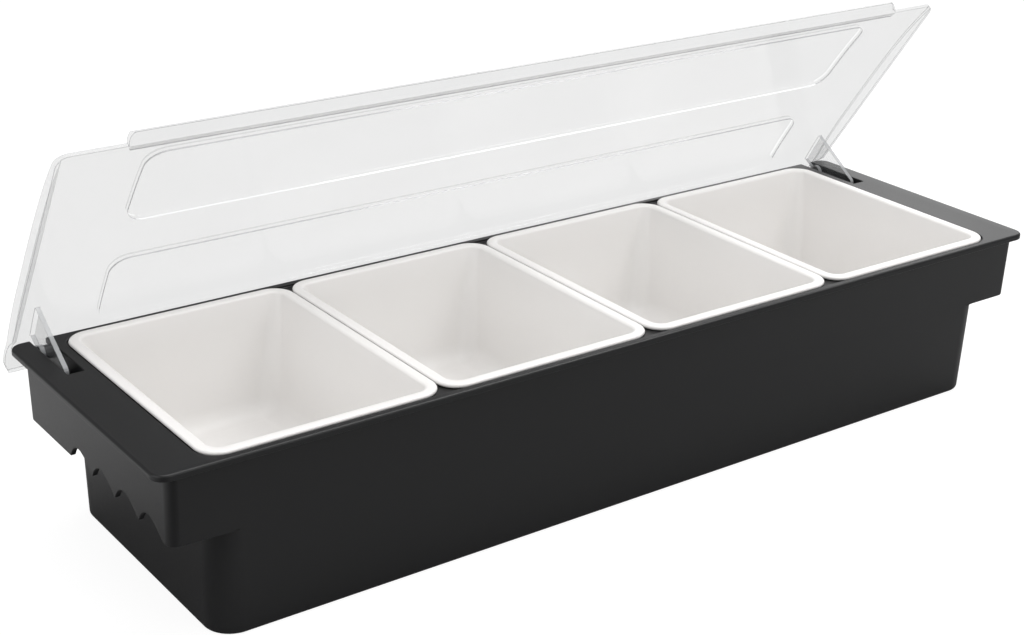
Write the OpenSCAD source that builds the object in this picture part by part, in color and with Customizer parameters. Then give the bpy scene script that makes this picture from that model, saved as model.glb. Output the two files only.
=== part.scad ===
// Condiment caddy: a moulded housing that holds a row of lift-out pans under
// one clear flip lid. +X runs along the row, +Y points to the hinge side, +Z up.
// The origin is the middle of the underside. The lid is drawn standing open.

/* [Housing] */
// Overall length of the rim
length = 495; // [440:1:600]
// Overall depth of the rim, front to back
depth = 150.5; // [144:0.5:170]
// Height of the rim's top face above the table
height = 84.4; // [82:0.1:110]
// Thickness of the moulded walls
wall = 2.4; // [1.8:0.1:3]
// Thickness of the floor
floor_t = 3; // [2:0.5:5]
// Thickness of the rim's turned-down edge
rim_t = 5.6; // [4.5:0.1:6.5]
// Thickness of the top plate that carries the pans
plate_t = 3.2; // [2.8:0.1:4]
// Depth of the shallow recess that the pans' rims lie in
recess_d = 1.2; // [0.6:0.1:1.4]
// How far the rim stands out past the front and back walls
rim_out_y = 2.3; // [1:0.1:3]
// How far the rim stands out past the end skirts
rim_out_x = 5.8; // [4:0.2:8]
// How far the front and back walls lean in over the full height
draft = 4; // [2:0.1:9]
// Outside corner radius of the rim, front and back
rim_r = 6.5; // [6:0.5:12]
// Round on the rim's top edge
rim_edge = 1.2; // [0.5:0.1:1.8]
// How far the lower tub's ends stand in from the rim's ends
tub_inset = 25; // [24:0.5:40]
// Upright corner radius of the lower tub
tub_r = 13; // [12:1:24]
// Upright corner radius of the end skirts
skirt_r = 5; // [3.5:0.5:8]
// Height of the end skirts, from the rim's top face to their lower edge
skirt_h = 34.5; // [30:0.5:38]

/* [Finger grips] */
// Number of finger arches in each skirt
grip_count = 4; // [3:1:4]
// Distance between finger arches
grip_pitch = 22.6; // [20:0.1:24]
// Width of an arch at the skirt's edge
grip_w = 22; // [16:0.1:22.4]
// Height of an arch
grip_h = 6.8; // [4:0.1:8]
// Distance from the middle of the row of arches to the body's middle
grip_shift = 19.6; // [10:0.2:20]

/* [Pans] */
// Number of pans in the row
pan_count = 4; // [2:1:4]
// Width of the housing's rim beside the row of pans
row_end = 22.7; // [22:0.1:26]
// Width of the housing's rim in front of and behind the pans
row_side = 4.25; // [2.8:0.05:6]
// Height of the ice space between the pans and the floor
ice_h = 24; // [20:0.5:40]
// Wall thickness of a pan
pan_wall = 2; // [1.4:0.1:2.6]
// Width of a pan's rolled rim
pan_rim_w = 5.2; // [4.6:0.1:7]
// Thickness of a pan's rolled rim
pan_rim_t = 2; // [1.4:0.1:2.4]
// Outside corner radius of a pan's rim
pan_r = 11; // [9:0.5:16]
// Lean of a pan's walls, in degrees
pan_draft = 9; // [7:0.5:14]
// Round where a pan's walls meet its floor
pan_floor_r = 12; // [10:0.5:16]
// Gap between the rims of two pans
pan_gap = 0.8; // [0.6:0.1:2]
// Width of the ledge that a pan's rim rests on
ledge_w = 2; // [1.5:0.1:2.2]
// Height of the web under each cross bar
web_h = 10; // [6:1:14]
// Thickness of the web under each cross bar
web_t = 1.8; // [1.2:0.1:2]

/* [Lid] */
// Angle that the lid stands open at, in degrees
open_angle = 55.4; // [45:0.1:56]
// How far the lid's ends stand in from the rim's ends
lid_in = 1.5; // [0.5:0.1:3]
// Thickness of the lid's sheet
lid_t = 2; // [1.6:0.1:2.2]
// Rise of the lid's crown
crown_h = 4.8; // [4:0.1:8]
// Distance from the lid's back edge to the top of its crown
crown_at = 56; // [50:1:60]
// Front corner radius of the lid
lid_r = 6; // [4:0.5:10]
// Step of the two raised panels
panel_step = 0.8; // [0.4:0.1:1]
// Corner radius of the raised panels
panel_r = 9; // [5:0.5:12]
// Distance from the lid's ends to its panels
panel_end = 41.5; // [30:0.5:60]
// Distance from the lid's back edge to the back panel
panel_back = 21; // [14:0.5:26]
// Front-to-back length of the back panel
panel_l = 43.5; // [30:0.5:50]
// Distance between the two panels
panel_apart = 27.5; // [20:0.5:36]
// Distance from the lid's front edge to the front panel
panel_front = 10; // [6:0.5:14]
// Length of the finger lip along the front edge
lip_l = 432; // [300:2:436]
// How far the finger lip reaches forward of the front edge
lip_out = 4.4; // [3:0.1:8]
// How far the finger lip rises above the front edge
lip_rise = 3.2; // [2:0.1:6]

/* [Hinge] */
// Distance of the hinge pins from the rim's back edge
pivot_in = 13; // [13:0.1:13.5]
// Depth of the hinge pins below the rim's top face
pivot_down = 19.5; // [19:0.1:20]
// Radius of the hinge pins
pin_r = 2.5; // [2:0.1:3]
// Running clearance round a hinge pin
pin_gap = 0.06; // [0.03:0.01:0.1]
// Thickness of the lid's hinge ears
ear_t = 2.2; // [1.8:0.1:2.6]
// Wall of the ring that clips over a hinge pin
ring_w = 3.4; // [3:0.1:3.6]
// Radius of the stop bosses
stop_r = 3.2; // [2.8:0.1:3.4]
// Distance of the stop bosses from the rim's back edge
stop_in = 7.5; // [7:0.1:8]
// Depth of the stop bosses below the rim's top face
stop_down = 3.8; // [3.6:0.1:4.4]
// Clearance round the ears and the stop bosses
ear_gap = 0.4; // [0.3:0.05:0.6]
// Length of the hinge slots, from the rim's back edge
slot_l = 43; // [42.6:0.1:46]
// Width of the hinge slots
slot_w = 7.4; // [6:0.1:7.6]
// Distance of the hinge slots from the row of pans
slot_side = 5; // [4.6:0.1:6]
// Gap between an ear and its slot's outer side
ear_side = 0.9; // [0.5:0.1:1.6]

/* [Hidden] */
$fn = 48;
eps = 0.02;
far = 400;                       // longer than any cut needs to be
lift = 0.1;                      // gap under a pan's rim
recess_gap = 0.5;                // gap round the row of rims
sweep_gap = 0.4;                 // clearance of the lid's swing past the rim
lid_seat = 0.1;                  // height of the shut lid's edge above the pans' rims
ear_room = 1.3;                  // gap in front of the shut ears
ear_drop = 10.5;                 // depth of the shut ears below the hinge pins

top_in = depth / 2 - rim_out_y;  // half depth of the walls at the rim's height
lean = atan(draft / height);     // lean of the front and back walls
end_x = length / 2;
skirt_x = end_x - rim_out_x;     // outside of the end skirts
tub_x = end_x - tub_inset;       // outside of the lower tub's ends
skirt_z = height - skirt_h;
row_x = length / 2 - row_end;
pan_pitch = 2 * row_x / pan_count;
slot_x0 = row_x + slot_side;     // inner face of a hinge slot
bin_x = slot_x0;                 // outside of the upper bin's end walls
cavity_x = skirt_x - wall;       // inner face of the end skirts
ear_x = slot_x0 + slot_w - ear_side - ear_t / 2;   // middle of a hinge ear

pan_w = pan_pitch - pan_gap;
pan_l = depth - 2 * row_side;
hole_w = pan_w - 2 * ledge_w;    // openings in the top plate
hole_l = pan_l - 2 * ledge_w;
hole_r = pan_r - ledge_w;
body_gap = pan_rim_w - ledge_w - pan_wall + 0.3;
pan_top_w = hole_w - 2 * body_gap;
pan_top_l = hole_l - 2 * body_gap;
pan_top_r = hole_r - body_gap;
pan_seat_z = height - recess_d + lift;
pan_top_z = pan_seat_z + pan_rim_t;
pan_base_z = floor_t + ice_h;

pivot_y = depth / 2 - pivot_in;
pivot_z = height - pivot_down;
stop_y = depth / 2 - stop_in;
stop_z = height - stop_down;
stop_reach = norm([stop_y - pivot_y, stop_z - pivot_z]);
stop_turn = atan2(stop_z - pivot_z, stop_y - pivot_y) + open_angle;
notch_y = pivot_y + stop_reach * cos(stop_turn);   // the stop boss, seen from the shut lid
notch_z = pivot_z + stop_reach * sin(stop_turn);
notch_r = stop_r + ear_gap;
ring_r = pin_r + pin_gap + ring_w;
lid_l = length - 2 * lid_in;
lid_z = pan_top_z + lid_seat;                      // underside of the shut lid's edge
swing_r = norm([depth / 2 - rim_edge - pivot_y, height - rim_edge - pivot_z])
    + rim_edge + sweep_gap;                        // inside of the lid's turned back edge
ear_front_y = depth / 2 - slot_l + ear_room;
ear_base_z = pivot_z - ear_drop;
ear_round = 3;

// Half depth of the leaning walls at height z
function wall_y(z) = top_in - draft * (height - z) / height;

// Rise of the lid's crown at distance s from its back edge
function crown(s) = let (w = s < crown_at ? crown_at : depth - crown_at)
    crown_h * (1 - pow(abs(s - crown_at) / w, s < crown_at ? 2 : 4));

// Height of a finger arch at share u of its width, from its steeper back side
function arch(u) = grip_h * sin(180 * pow(u, 0.8));

// ---------------------------------------------------------------- shared forms

module rounded(w, l, r) {
    hull_x = w / 2 - r;
    hull_y = l / 2 - r;
    square([w, 2 * hull_y], center = true);
    square([2 * hull_x, l], center = true);
    for (x = [-hull_x, hull_x], y = [-hull_y, hull_y])
        translate([x, y]) circle(r);
}

// Section of a plate's border, w wide and t thick, rounded by e above and by
// e_under below
module border(w, t, e, e_under) {
    square([w - max(e, e_under), t]);
    translate([w - e, t - e]) circle(e);
    if (e + e_under < t) {
        translate([0, e_under]) square([w, t - e - e_under]);
        if (e_under > 0) translate([w - e_under, e_under]) circle(e_under);
    }
}

// A plate with round corners and a rounded border, in pieces that meet face to face
module soft_plate(w, l, r, t, e, e_under = 0) {
    linear_extrude(t) square([w - 2 * r, l - 2 * r], center = true);
    for (side = [0, 1]) mirror([side, 0, 0])
        translate([w / 2 - r, 0, 0]) rotate([90, 0, 0])
            linear_extrude(l - 2 * r, center = true) border(r, t, e, e_under);
    for (side = [0, 1]) mirror([0, side, 0])
        translate([0, l / 2 - r, 0]) rotate([90, 0, 90])
            linear_extrude(w - 2 * r, center = true) border(r, t, e, e_under);
    for (x = [0, 1], y = [0, 1]) mirror([x, 0, 0]) mirror([0, y, 0])
        translate([w / 2 - r, l / 2 - r, 0]) rotate_extrude(angle = 90) border(r, t, e, e_under);
}

// Cutters that round the four upright corners of a block, each square to the
// leaning wall that it rounds. They stand a hair outside it, so that the round
// crosses the wall instead of only touching it
module round_uprights(half_x, side, r) {
    for (x = [0, 1], y = [0, 1]) mirror([x, 0, 0]) mirror([0, y, 0])
        translate([half_x, wall_y(0) - side + eps, 0]) rotate([-lean, 0, 0])
            translate([-r, -r, -height]) linear_extrude(3 * height)
                difference() {
                    square(2 * r);
                    circle(r);
                }
}

// A block with leaning front and back walls, set in by inset, from z0 to z1:
// half high_x long above z_step and half low_x long below it
module stepped_block(low_x, high_x, z0, z_step, z1, inset, low_r, high_r) {
    side = inset / cos(lean);
    difference() {
        rotate([90, 0, 90]) linear_extrude(2 * high_x, center = true)
            polygon([
                [-(wall_y(z0) - side), z0], [wall_y(z0) - side, z0],
                [wall_y(z1) - side, z1], [-(wall_y(z1) - side), z1]
            ]);
        round_uprights(high_x, side, high_r);
        intersection() {
            union() {
                both_ends() translate([low_x, -far / 2, -far / 2]) cube(far);
                round_uprights(low_x, side, low_r);
            }
            translate([-far, -far, z_step - far]) cube([2 * far, 2 * far, far]);
        }
    }
}

// Both ends of the body, the left one mirrored from the right
module both_ends() {
    children();
    mirror([1, 0, 0]) children();
}

// A round bar across a hinge slot, from the bin wall to the skirt
module cross_bar(y, z, r) {
    translate([bin_x - wall / 2, y, z]) rotate([0, 90, 0])
        cylinder(r = r, h = cavity_x - bin_x + wall);
}

// --------------------------------------------------------------------- housing

module shell_outside() {
    stepped_block(tub_x, skirt_x, 0, skirt_z, height - rim_t / 2, 0, tub_r, skirt_r);
    translate([0, 0, height - rim_t]) soft_plate(length, depth, rim_r, rim_t, rim_edge);
}

module well() {
    stepped_block(tub_x - wall, bin_x - wall, floor_t, skirt_z + wall, height - plate_t,
                  wall, tub_r - wall, skirt_r - wall);
}

// The hollow behind an end skirt, open below
module end_hollow() {
    side = wall / cos(lean);
    intersection() {
        difference() {
            rotate([90, 0, 90]) linear_extrude(2 * cavity_x, center = true)
                polygon([
                    [-(wall_y(0) - side), 0], [wall_y(0) - side, 0],
                    [wall_y(height - plate_t) - side, height - plate_t],
                    [-(wall_y(height - plate_t) - side), height - plate_t]
                ]);
            round_uprights(cavity_x, side, skirt_r - wall);
        }
        translate([bin_x, -far / 2, skirt_z - 1]) cube(far);
    }
}

module hinge_slot() {
    translate([slot_x0, depth / 2 - slot_l, height - rim_t - 10])
        cube([slot_w, slot_l + 1, rim_t + 11]);
}

module finger_arches() {
    steps = 16;
    back = grip_count * grip_pitch / 2 - grip_shift;
    outline = [for (i = [0 : grip_count - 1], k = [0 : steps])
        [back - (i + 0.5) * grip_pitch + grip_w * (0.5 - k / steps), skirt_z + arch(k / steps)]];
    translate([skirt_x - wall - 1, 0, 0]) rotate([90, 0, 90]) linear_extrude(wall + 2)
        polygon(concat([[back, skirt_z - 2], [back, skirt_z]], outline,
                       [[back - grip_count * grip_pitch, skirt_z],
                        [back - grip_count * grip_pitch, skirt_z - 2]]));
}

// The shallow recess that all the pans' rims lie in
module rim_recess() {
    translate([0, 0, height - recess_d]) linear_extrude(recess_d + 1)
        rounded(2 * (row_x + recess_gap), pan_l + 2 * recess_gap, pan_r + recess_gap);
}

module pan_holes() {
    translate([0, 0, height - plate_t - 1]) linear_extrude(plate_t + 2)
        for (i = [0 : pan_count - 1]) translate([pan_x(i), 0]) rounded(hole_w, hole_l, hole_r);
}

module bar_webs() {
    reach = wall_y(height - plate_t - web_h) - wall / 2;
    for (i = [1 : pan_count - 1])
        translate([i * pan_pitch - row_x, 0, height - plate_t - web_h / 2 + eps])
            cube([web_t, 2 * reach, web_h], center = true);
}

module housing() {
    color([0.13, 0.13, 0.14]) {
        difference() {
            shell_outside();
            well();
            rim_recess();
            pan_holes();
            both_ends() {
                end_hollow();
                hinge_slot();
                finger_arches();
            }
        }
        bar_webs();
        both_ends() {
            cross_bar(pivot_y, pivot_z, pin_r);
            cross_bar(stop_y, stop_z, stop_r);
        }
    }
}

// ------------------------------------------------------------------------ pans

function pan_x(i) = (i + 0.5) * pan_pitch - row_x;

// The tapered bowl between its mouth and its floor, set in by inset
module bowl(inset, z_top) {
    ball_z = pan_base_z + pan_floor_r;
    shrink = (pan_seat_z - ball_z) * tan(pan_draft) + pan_floor_r / cos(pan_draft);
    ball_x = pan_top_w / 2 - shrink;
    ball_y = pan_top_l / 2 - shrink;
    hull() {
        translate([0, 0, z_top]) linear_extrude(eps)
            rounded(pan_top_w - 2 * inset, pan_top_l - 2 * inset, pan_top_r - inset, $fn = 48);
        for (x = [-ball_x, ball_x], y = [-ball_y, ball_y])
            translate([x, y, ball_z]) sphere(pan_floor_r - inset, $fn = 32);
    }
}

module pan(i) {
    color([0.95, 0.94, 0.92]) translate([pan_x(i), 0, 0])
        difference() {
            union() {
                translate([0, 0, pan_seat_z])
                    soft_plate(pan_w, pan_l, pan_r, pan_rim_t, pan_rim_t / 2, pan_rim_t / 2);
                bowl(0, pan_seat_z);
            }
            bowl(pan_wall, pan_top_z);
        }
}

// ------------------------------------------------------------------------- lid

// Height of the shut lid's outside at y: its crown, or the arc about the hinge
// pins that clears the rim, where that is higher
function lid_top(y) = let (reach = swing_r + lid_t, off = y - pivot_y)
    max(lid_z + lid_t + crown(depth / 2 - y),
        abs(off) < reach ? pivot_z + sqrt(reach * reach - off * off) : 0);

// The lid's section as shut: the face that lies t below its outside
function lid_face(t) = [for (k = [0 : 48]) let (y = depth / 2 - depth * k / 48)
    [y, lid_top(y) - t]];

module lid_section(top, bottom) {
    polygon(concat(lid_face(-top), [for (k = [48 : -1 : 0]) lid_face(bottom)[k]]));
}

module along_x(l) {
    rotate([90, 0, 90]) linear_extrude(l, center = true) children();
}

module panel_plan() {
    back = depth / 2 - panel_back;
    mid = back - panel_l - panel_apart;
    front = -depth / 2 + panel_front;
    for (span = [[back, back - panel_l], [mid, front]])
        translate([0, (span[0] + span[1]) / 2])
            rounded(lid_l - 2 * panel_end, span[0] - span[1], panel_r);
}

module lid_outline() {
    rounded(lid_l, depth, lid_r);
    translate([-lid_l / 2 + lid_t, 0]) square([lid_l - 2 * lid_t, depth / 2]);
}

module lid_sheet() {
    difference() {
        along_x(lid_l) lid_section(0, lid_t);
        linear_extrude(far) panel_plan();
    }
    intersection() {
        along_x(lid_l) lid_section(panel_step, lid_t - panel_step);
        linear_extrude(far) panel_plan();
    }
}

module lid_ends() {
    both_ends() translate([(lid_l - lid_t) / 2, 0, 0]) along_x(lid_t)
        polygon(concat(lid_face(0), [[-depth / 2, lid_z], [depth / 2, lid_z]]));
}

module finger_lip() {
    front = -depth / 2;
    intersection() {
        along_x(lip_l) polygon([
            [front + 3, lid_z + 0.2], [front, lid_z], [front - lip_out, lid_z + lip_rise],
            [front - lip_out + 1, lid_z + lip_rise + lid_t - 0.4], [front + 0.6, lid_z + lid_t]
        ]);
        linear_extrude(far) translate([0, front]) rounded(lip_l, 2 * lip_out, lip_out - 0.1);
    }
}

// A hinge ear as shut: a plate that hangs from the lid, hooks round the stop
// boss when open and clips over the hinge pin
module ear_outline() {
    difference() {
        union() {
            difference() {
                union() {
                    translate([ear_front_y, ear_base_z + ear_round])
                        square([notch_y - ear_front_y, far]);
                    translate([ear_front_y + ear_round, ear_base_z + ear_round])
                        circle(ear_round);
                    translate([ear_front_y + ear_round, ear_base_z])
                        square([pivot_y - ring_r - ear_front_y, 2 * ear_round]);
                    intersection() {
                        translate([pivot_y, pivot_z]) circle(stop_reach - notch_r);
                        translate([notch_y - 6, ear_base_z])
                            square([pivot_y - 4 - notch_y + 6, far]);
                    }
                }
                translate([notch_y, notch_z]) circle(notch_r);
            }
            translate([pivot_y, pivot_z]) circle(ring_r);
        }
        translate([pivot_y, pivot_z]) circle(pin_r + pin_gap);
        translate([pivot_y, pivot_z]) rotate(-60)
            translate([0, -0.75 * pin_r]) square([far, 1.5 * pin_r]);
    }
}

module ears() {
    both_ends() intersection() {
        translate([ear_x, 0, 0]) along_x(ear_t) ear_outline();
        along_x(lid_l) polygon(concat(lid_face(lid_t / 2), [[-depth / 2, 0], [depth / 2, 0]]));
    }
}

module shut_lid() {
    difference() {
        intersection() {
            union() {
                lid_sheet();
                lid_ends();
            }
            linear_extrude(far) lid_outline();
        }
        along_x(length + 2) translate([pivot_y, pivot_z]) circle(swing_r);
    }
    finger_lip();
    ears();
}

module lid() {
    color([0.86, 0.9, 0.92, 0.45])
        translate([0, pivot_y, pivot_z]) rotate([-open_angle, 0, 0])
            translate([0, -pivot_y, -pivot_z]) shut_lid();
}

housing();
pan(0);  // pan_1
pan(1);  // pan_2
pan(2);  // pan_3
pan(3);  // pan_4
lid();
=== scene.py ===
import math
import bmesh
import bpy
from mathutils import Matrix, Vector


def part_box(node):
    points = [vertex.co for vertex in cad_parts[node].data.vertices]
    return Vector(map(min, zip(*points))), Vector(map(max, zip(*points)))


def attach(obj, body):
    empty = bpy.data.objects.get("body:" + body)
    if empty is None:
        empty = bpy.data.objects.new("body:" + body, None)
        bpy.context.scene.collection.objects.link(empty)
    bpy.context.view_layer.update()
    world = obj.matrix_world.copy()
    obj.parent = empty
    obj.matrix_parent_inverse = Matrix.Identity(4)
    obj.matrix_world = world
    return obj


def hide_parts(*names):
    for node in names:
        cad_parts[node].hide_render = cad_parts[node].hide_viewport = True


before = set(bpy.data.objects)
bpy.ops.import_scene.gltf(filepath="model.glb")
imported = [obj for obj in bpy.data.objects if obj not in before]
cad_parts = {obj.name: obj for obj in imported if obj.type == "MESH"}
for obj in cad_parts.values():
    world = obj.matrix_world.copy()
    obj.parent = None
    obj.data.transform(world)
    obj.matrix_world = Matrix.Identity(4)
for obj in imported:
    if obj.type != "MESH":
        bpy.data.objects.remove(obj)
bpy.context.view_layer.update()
mm = 0.001  # the frame is in metres; angles are in degrees
print("frame loaded:", ", ".join(sorted(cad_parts)))


# wraps an output socket, so that maths written on it adds Math nodes
class Sock:
    def __init__(self, tree, out):
        self.tree, self.out = tree, out

    def maths(self, operation, *terms):
        return self.tree.node("ShaderNodeMath", {"operation": operation}, dict(enumerate(terms)))

    def __add__(self, other):
        return self.maths("ADD", self, other)

    def __radd__(self, other):
        return self.maths("ADD", other, self)

    def __sub__(self, other):
        return self.maths("SUBTRACT", self, other)

    def __rsub__(self, other):
        return self.maths("SUBTRACT", other, self)

    def __mul__(self, other):
        return self.maths("MULTIPLY", self, other)

    def __rmul__(self, other):
        return self.maths("MULTIPLY", other, self)

    def __pow__(self, other):
        return self.maths("POWER", self, other)

    def __rpow__(self, other):
        return self.maths("POWER", other, self)

    def atLeast(self, other):
        return self.maths("MAXIMUM", self, other)

    def atMost(self, other):
        return self.maths("MINIMUM", self, other)

    # another output of the same node
    def beside(self, out):
        return Sock(self.tree, self.out.node.outputs[out])


# the node tree of a material or of the world
class Finish:
    def __init__(self, owner, shader="Principled BSDF"):
        owner.use_nodes = True
        self.owner = owner
        self.nodes = owner.node_tree.nodes
        self.links = owner.node_tree.links
        self.shader = self.nodes[shader]

    def put(self, node, socket, value):
        target = node.inputs[socket]
        if isinstance(value, Sock):
            self.links.new(value.out, target)
        else:
            target.default_value = value

    def node(self, kind, settings=None, sockets=None, out=0):
        made = self.nodes.new(kind)
        for key, value in (settings or {}).items():
            setattr(made, key, value)
        for key, value in (sockets or {}).items():
            self.put(made, key, value)
        return Sock(self, made.outputs[out])

    def surface(self, **values):
        for key, value in values.items():
            self.put(self.shader, key.replace("_", " "), value)

    def place(self, scale=(1, 1, 1)):
        here = self.node("ShaderNodeTexCoord", out="Object")
        return self.node("ShaderNodeMapping", sockets={"Vector": here, "Scale": scale})

    def noise(self, where, scale, detail=3, rough=0.5):
        sockets = {"Vector": where, "Scale": scale, "Detail": detail, "Roughness": rough}
        return self.node("ShaderNodeTexNoise", sockets=sockets)

    def blend(self, factor, first, second):
        sockets = {0: factor, 6: first, 7: second}  # 6 and 7 are the colours
        return self.node("ShaderNodeMix", {"data_type": "RGBA"}, sockets, out=2)

    def bump(self, height, strength, distance):
        sockets = {"Height": height, "Strength": strength, "Distance": distance}
        return self.node("ShaderNodeBump", sockets=sockets)


noiseMean = 0.5


def blackShell():
    look = dict(dark=(0.0055, 0.0055, 0.006, 1), light=(0.0085, 0.0085, 0.0093, 1), patch=9, grain=900,
                grainBump=0.35, grainDepth=0.03 * mm, rough=0.38, roughSpread=0.10, grainRough=0.06)
    t = Finish(bpy.data.materials.new("blackShell"))
    here = t.place()
    patches = t.noise(here, look["patch"], detail=4)
    grain = t.noise(here, look["grain"], detail=2, rough=0.6)
    rough = look["rough"] + (patches - noiseMean) * look["roughSpread"]
    t.surface(Base_Color=t.blend(patches, look["dark"], look["light"]),
              Roughness=rough + (grain - noiseMean) * look["grainRough"],
              Normal=t.bump(grain, look["grainBump"], look["grainDepth"]))
    t.surface(IOR=1.5, Specular_IOR_Level=0.42)
    return t.owner


def whitePan():
    look = dict(pale=(0.84, 0.83, 0.815, 1), warm=(0.81, 0.79, 0.775, 1), patch=14, grain=700,
                grainBump=0.25, grainDepth=0.02 * mm, rough=0.36, roughSpread=0.08)
    t = Finish(bpy.data.materials.new("whitePan"))
    here = t.place()
    patches = t.noise(here, look["patch"], detail=4)
    grain = t.noise(here, look["grain"], detail=2, rough=0.6)
    t.surface(Base_Color=t.blend(patches, look["pale"], look["warm"]),
              Roughness=look["rough"] + (patches - noiseMean) * look["roughSpread"],
              Normal=t.bump(grain, look["grainBump"], look["grainDepth"]))
    t.surface(IOR=1.49)
    return t.owner


def clearSheet(name, alpha, tint):
    look = dict(rough=0.08, roughSpread=0.05, patch=22, haze=0.02,
                ripple=5, rippleStretch=(0.35, 1, 1), rippleBump=0.3, rippleDepth=0.4 * mm,
                glance=0.05, glancePower=5)  # glance: how much less clear it is at a grazing look
    t = Finish(bpy.data.materials.new(name))
    patches = t.noise(t.place(), look["patch"])
    ripple = t.noise(t.place(look["rippleStretch"]), look["ripple"], detail=1)
    facing = t.node("ShaderNodeLayerWeight", out="Facing")
    haze = (patches - noiseMean) * look["haze"] + facing ** look["glancePower"] * look["glance"]
    t.surface(Base_Color=tint, Roughness=look["rough"] + (patches - noiseMean) * look["roughSpread"],
              Alpha=alpha + haze, Normal=t.bump(ripple, look["rippleBump"], look["rippleDepth"]))
    t.surface(IOR=1.49, Specular_IOR_Level=0.9)
    return t.owner


finishes = dict(shell=blackShell(), pan=whitePan(),  # the clear ones: name, alpha, tint
                sheet=clearSheet("clearSheet", 0.165, (0.22, 0.225, 0.23, 1)),
                edge=clearSheet("clearEdge", 0.20, (0.50, 0.51, 0.52, 1)),
                line=clearSheet("clearLine", 0.66, (0.46, 0.47, 0.48, 1)),
                faint=clearSheet("clearStep", 0.03, (0.80, 0.81, 0.82, 1)),
                # pale: a painted highlight, near white, for the steps that face the lid's front
                pale=clearSheet("paintedHighlightStep", 0.80, (0.93, 0.94, 0.95, 1)))
print("finishes made")


# a bmesh of a CAD node, its loose triangles merged into whole flat faces
def weldedCopy(node, flatness=0.5, gap=0.002 * mm):
    bm = bmesh.new()
    bm.from_mesh(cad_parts[node].data)
    bmesh.ops.remove_doubles(bm, verts=bm.verts, dist=gap)
    bmesh.ops.dissolve_limit(bm, verts=bm.verts, edges=bm.edges, angle_limit=math.radians(flatness),
                             use_dissolve_boundaries=False)
    bm.normal_update()
    return bm


def finished(bm, name, materials, sharp=35):
    mesh = bpy.data.meshes.new(name)
    bm.to_mesh(mesh)
    bm.free()
    for material in materials:
        mesh.materials.append(material)
    if "custom_normal" in mesh.attributes:  # the loose triangles' own shading
        mesh.attributes.remove(mesh.attributes["custom_normal"])
    mesh.shade_smooth()
    mesh.set_sharp_from_angle(angle=math.radians(sharp))
    piece = bpy.data.objects.new(name, mesh)
    bpy.context.scene.collection.objects.link(piece)
    return piece


# small rounds along the edges that bend more than the limit, or along those that carry a weight
def softenEdges(piece, width, bend, segments=3, weighted=False, material=-1):
    soft = piece.modifiers.new("softEdges", "BEVEL")
    soft.width = width
    soft.segments = segments
    soft.limit_method = "WEIGHT" if weighted else "ANGLE"
    soft.angle_limit = math.radians(bend)
    soft.use_clamp_overlap = False
    soft.harden_normals = True
    soft.material = material
    soft.offset_type = "WIDTH" if weighted else "OFFSET"


shellStyle = dict(edgeRound=0.45 * mm, footRound=1.6 * mm, footSteps=5, bend=38,
                  rimSide=5.6 * mm, rimSeen=3 * mm,  # height of the solid's rim, and of the rim that shows
                  rimReach=0.05 * mm, footReach=0.01 * mm)  # how near their level the vertices lie


def makeHousing():
    s = shellStyle
    low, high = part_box("housing")
    bm = weldedCopy("housing")
    underside = high[2] - s["rimSide"]
    for vert in bm.verts:  # the rim's underside comes up, for a thinner rim
        if abs(vert.co.z - underside) < s["rimReach"]:
            vert.co.z = high[2] - s["rimSeen"]
    foot = [e for e in bm.edges if all(v.co.z < low[2] + s["footReach"] for v in e.verts)
            and e.calc_face_angle(0) > math.radians(s["bend"])]
    bmesh.ops.bevel(bm, geom=foot, offset=s["footRound"], segments=s["footSteps"], profile=0.5,
                    affect="EDGES", material=-1)
    piece = finished(bm, "housing_shell", [finishes["shell"]])
    softenEdges(piece, s["edgeRound"], s["bend"])
    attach(piece, "base")
    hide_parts("housing")


makeHousing()
print("housing made")


panStyle = dict(rimThick=2 * mm, wall=2 * mm, corner=11 * mm, mouthInset=3.5 * mm, lean=9,
                floorRound=12 * mm, floorCorner=0.4 * mm, lipRound=1.6 * mm, smooth=50,
                cornerSteps=12, floorSteps=7, wallSteps=5, lipSteps=5, beadSteps=8)


# places along a rectangle with round corners
def outline(halfX, halfY, radius, z, centre, steps):
    ring = []
    for quarter, (sx, sy) in enumerate(((1, 1), (-1, 1), (-1, -1), (1, -1))):
        for k in range(steps + 1):
            a = math.radians(90 * (quarter + k / steps))
            x = sx * (halfX - radius) + radius * math.cos(a)
            y = sy * (halfY - radius) + radius * math.sin(a)
            ring.append(Vector((centre.x + x, centre.y + y, z)))
    return ring


# a skin grown ring by ring; returns its first and last loops of vertices
def loft(bm, rings):
    ring = first = [bm.verts.new(spot) for spot in rings[0]]
    for k, vert in enumerate(ring):
        bm.edges.new((ring[k - 1], vert))
    for places in rings[1:]:
        edges = [bm.edges.get((ring[k - 1], vert)) for k, vert in enumerate(ring)]
        fresh = set(bmesh.ops.extrude_edge_only(bm, edges=edges)["geom"])
        ring = [next(e.other_vert(v) for e in v.link_edges if e.other_vert(v) in fresh) for v in ring]
        for vert, spot in zip(ring, places):
            vert.co = spot
    return first, ring


# half sizes, corner radius and height of the rings from a bowl's floor to its mouth
def bowlRings(topX, topY, topR, topZ, ball, ballZ):
    s = panStyle
    lean = math.radians(s["lean"])
    shrink = (topZ - ballZ) * math.tan(lean) + ball / math.cos(lean)
    coreX, coreY = topX - shrink, topY - shrink
    rings = []
    for k in range(s["floorSteps"] + 1):
        a = (math.pi / 2 - lean) * k / s["floorSteps"]
        out = ball * math.sin(a)
        rings.append((coreX + out, coreY + out, out + s["floorCorner"], ballZ - ball * math.cos(a)))
    foot, mouth = rings[-1], (topX, topY, topR, topZ)
    for k in range(1, s["wallSteps"] + 1):
        share = k / s["wallSteps"]
        rings.append(tuple(a + (b - a) * share for a, b in zip(foot, mouth)))
    return rings


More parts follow.
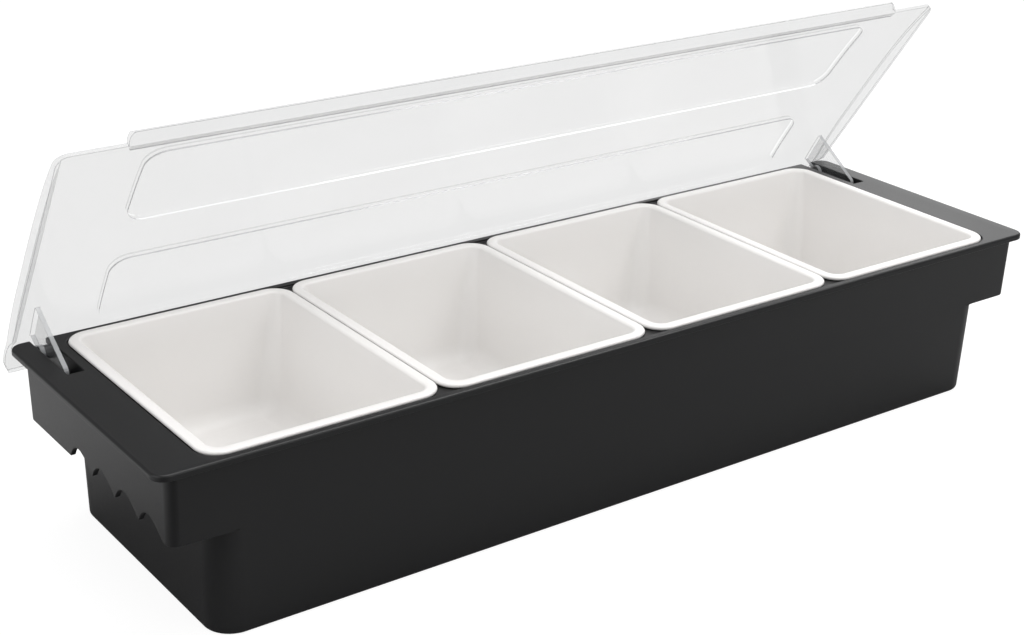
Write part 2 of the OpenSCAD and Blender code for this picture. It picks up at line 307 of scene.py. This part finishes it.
def makePan(node):
    low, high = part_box(node)
    centre = (Vector(low) + Vector(high)) / 2
    halfX, halfY = (high[0] - low[0]) / 2, (high[1] - low[1]) / 2
    s = panStyle
    seat = high[2] - s["rimThick"]
    ballZ = low[2] + s["floorRound"]
    mouthX, mouthY = halfX - s["mouthInset"], halfY - s["mouthInset"]
    mouthR = s["corner"] - s["mouthInset"]
    inner = bowlRings(mouthX - s["wall"], mouthY - s["wall"], mouthR - s["wall"], seat,
                      s["floorRound"] - s["wall"], ballZ)
    outer = bowlRings(mouthX, mouthY, mouthR, seat, s["floorRound"], ballZ)
    lip = s["lipRound"]
    rings = inner[:-1]
    for k in range(1, s["lipSteps"] + 1):  # the wall turns over into the rim
        a = math.radians(90 * k / s["lipSteps"])
        out = lip * (1 - math.cos(a))
        rings.append((mouthX - s["wall"] + out, mouthY - s["wall"] + out, mouthR - s["wall"] + out,
                      high[2] - lip + lip * math.sin(a)))
    bead = s["rimThick"] / 2
    for k in range(s["beadSteps"] + 1):  # the rim's full-round edge
        a = math.radians(90 - 180 * k / s["beadSteps"])
        out = bead * math.cos(a) - bead
        rings.append((halfX + out, halfY + out, s["corner"] + out, high[2] - bead + bead * math.sin(a)))
    rings += reversed(outer)
    bm = bmesh.new()
    for end in loft(bm, [outline(*ring, centre, s["cornerSteps"]) for ring in rings]):
        bmesh.ops.contextual_create(bm, geom=end)
    bmesh.ops.recalc_face_normals(bm, faces=bm.faces)
    piece = finished(bm, f"{node}_bowl", [finishes["pan"]], s["smooth"])
    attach(piece, node)
    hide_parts(node)


for node in sorted(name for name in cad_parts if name.startswith("pan_")):
    makePan(node)
print("pans made")


lidStyle = dict(openAngle=55.4, bend=25, flatness=0.1,
                thin=4.2 * mm, step=1.2 * mm,  # the widest rim, and the widest step round a panel
                earInset=(9 * mm, 12.5 * mm),  # where the hinge ears' rims lie, from the lid's ends
                squarely=0.9,  # the cosine past which a step faces the lid's front or back
                hiddenBelow=95 * mm,  # under this height the steps are as clear as the sheet
                edgeRound=0.32 * mm, edgeSteps=2, edgeBend=50)


# faces joined by bends gentler than the limit, as lists
def facesBetweenBends(bm, bend):
    limit = math.radians(bend)
    left = set(bm.faces)
    while left:
        region, front = [], [left.pop()]
        while front:
            face = front.pop()
            region.append(face)
            for edge in face.edges:
                if edge.calc_face_angle(math.pi) < limit:
                    fresh = left.intersection(edge.link_faces)
                    left -= fresh
                    front.extend(fresh)
        yield region


# the mean width of a strip of faces, and whether its faces look away from its middle
def stripShape(region):
    inside = set(region)
    border = sum(edge.calc_length() for face in region for edge in face.edges
                 if not inside.issuperset(edge.link_faces))
    area = sum(face.calc_area() for face in region)
    middle = sum((face.calc_center_median() * face.calc_area() for face in region), Vector()) / area
    away = sum((face.calc_center_median() - middle).dot(face.normal) * face.calc_area()
               for face in region)
    return 2 * area / border, away > 0


# which finish a face of the lid takes: walls are clear, rims and some of the steps show more, and the
# steps facing the lid's front carry a painted highlight
def lidFinish(face, wide, away, front, reach):
    here = face.calc_center_median()
    if wide > lidStyle["thin"]:
        return "sheet"
    if wide > lidStyle["step"]:
        nearest, farthest = lidStyle["earInset"]
        return "line" if nearest < reach - abs(here.x) < farthest else "edge"
    towardsFront = face.normal.dot(front)
    if here.z < lidStyle["hiddenBelow"] or (away and towardsFront < -lidStyle["squarely"]):
        return "sheet"  # the lower panel fades out towards the hinge
    if away:
        return "faint"  # each panel's outline shows once, on the inner skin
    # steps facing the lid's front take the pale finish, a painted highlight line
    return "pale" if towardsFront > lidStyle["squarely"] else "line"


def makeLid():
    bm = weldedCopy("lid", lidStyle["flatness"])
    names = ["sheet", "edge", "line", "faint", "pale"]
    front = Matrix.Rotation(math.radians(-lidStyle["openAngle"]), 3, "X") @ Vector((0, -1, 0))
    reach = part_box("lid")[1][0]
    weight = bm.edges.layers.float.new("bevel_weight_edge")
    for edge in bm.edges:
        edge[weight] = float(edge.calc_face_angle(0) > math.radians(lidStyle["edgeBend"]))
    for region in list(facesBetweenBends(bm, lidStyle["bend"])):
        wide, away = stripShape(region)
        for face in region:
            name = lidFinish(face, wide, away, front, reach)
            face.material_index = names.index(name)
            if wide < lidStyle["step"]:  # the steps are too narrow for a round
                for edge in face.edges:
                    edge[weight] = 0
    piece = finished(bm, "lid_clear", [finishes[name] for name in names], lidStyle["bend"])
    softenEdges(piece, lidStyle["edgeRound"], lidStyle["edgeBend"], lidStyle["edgeSteps"], weighted=True,
                material=names.index("line"))
    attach(piece, "lid")
    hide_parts("lid")


makeLid()
print("lid made")


studio = dict(floorSize=12.0, floorTone=0.36, paintedShadeTone=0.14, paintedLightTone=0.62, seenTone=(0.15, 0.15, 0.15, 1),
              paintedShadeStart=1.02, paintedShadeSlope=3, paintedLightStart=-0.58, paintedLightSlope=2.2,  # the floor's painted shade and painted light over x and y
              floorGlow=0.9, worldTone=0.50, glossTone=0.35,
              lamps=[  # name, place, aim, width, height, watts
                  ("overhead", (0.10, -0.10, 1.60), (0, 0, 0.05), 1.6, 1.2, 14),
                  ("highRight", (0.80, -0.15, 1.30), (0, 0, 0.10), 0.7, 0.5, 6),
                  ("leftSoftbox", (-1.60, -0.10, 0.75), (0, 0, 0.05), 1.2, 0.9, 7),
                  ("frontSoftbox", (0.30, -1.90, 1.00), (0, 0, 0.06), 1.4, 0.9, 6),
                  ("farRightSoftbox", (1.66, 1.26, 0.70), (0.2, 0, 0.08), 1.3, 0.9, 6.5)])


# white to the camera; to other rays its colour holds painted shade, dim by the left end, and painted
# light, full far off to the left and behind
def makeFloor():
    s = studio
    bm = bmesh.new()
    bmesh.ops.create_grid(bm, x_segments=1, y_segments=1, size=s["floorSize"] / 2)
    t = Finish(bpy.data.materials.new("paleFloor"))
    seen = t.node("ShaderNodeLightPath", out="Is Camera Ray")
    x = t.node("ShaderNodeSeparateXYZ", sockets={"Vector": t.place()}, out="X")
    towardsEnd = x * s["paintedShadeSlope"]
    # painted shade by the left end, where the housing's shadow falls on the floor
    paintedShade = (towardsEnd + s["paintedShadeStart"]).atLeast(s["paintedShadeTone"]).atMost(s["floorTone"])
    # painted light on the floor far off to the left and behind
    paintedLight = x.beside("Y") * s["paintedLightSlope"] - towardsEnd + s["paintedLightStart"]
    paintedShadeAndLight = paintedShade.atLeast(paintedLight).atMost(s["paintedLightTone"])
    t.surface(Base_Color=t.blend(seen, paintedShadeAndLight, s["seenTone"]), Roughness=0.9,
              Emission_Color=(1, 1, 1, 1), Emission_Strength=seen * s["floorGlow"])
    floor = finished(bm, "floor", [t.owner])


def makeLamps():
    for name, place, aim, width, height, watts in studio["lamps"]:
        lamp = bpy.data.lights.new(name, "AREA")
        lamp.shape = "RECTANGLE"
        lamp.size, lamp.size_y = width, height
        lamp.energy = watts
        holder = bpy.data.objects.new(name, lamp)
        holder.location = place
        holder.rotation_euler = (Vector(aim) - Vector(place)).to_track_quat("-Z", "Y").to_euler()
        bpy.context.scene.collection.objects.link(holder)


# white to the camera and through clear parts, dimmer where it lights or is mirrored
def makeWorld():
    world = bpy.data.worlds.new("paleRoom")
    bpy.context.scene.world = world
    t = Finish(world, "Background")
    lit, gloss = studio["worldTone"], studio["glossTone"]
    seen = t.node("ShaderNodeLightPath", out="Is Camera Ray")
    shine = seen.beside("Is Glossy Ray") * (gloss - lit) + lit
    t.surface(Color=(1, 1, 1, 1), Strength=shine.atLeast(seen).atLeast(seen.beside("Is Transmission Ray")))


view = dict(place=(-496.4, -647.3, 408.2), turn=35.84, down=22.73, roll=0.95,  # in mm and degrees
            focal=1824.4, imageWide=1024,  # both in pixels
            sensor=36.0, clip=(0.01, 50))  # in mm, and in metres


def makeCamera():
    turn, down, roll = (math.radians(view[k]) for k in ("turn", "down", "roll"))
    forward = Vector((math.sin(turn) * math.cos(down), math.cos(turn) * math.cos(down), -math.sin(down)))
    level = Vector((math.cos(turn), -math.sin(turn), 0))
    upright = level.cross(forward)
    right = math.cos(roll) * level + math.sin(roll) * upright
    up = right.cross(forward)
    lens = bpy.data.cameras.new("camera")
    lens.sensor_width = view["sensor"]
    lens.sensor_fit = "HORIZONTAL"
    lens.lens = view["sensor"] * view["focal"] / view["imageWide"]
    lens.clip_start, lens.clip_end = view["clip"]
    holder = bpy.data.objects.new("camera", lens)
    holder.matrix_world = Matrix((right, up, -forward)).transposed().to_4x4()
    holder.location = Vector(view["place"]) * mm
    bpy.context.scene.collection.objects.link(holder)
    bpy.context.scene.camera = holder


makeFloor()
makeLamps()
makeWorld()
makeCamera()
bpy.context.scene.view_settings.view_transform = "Standard"
print("studio made")
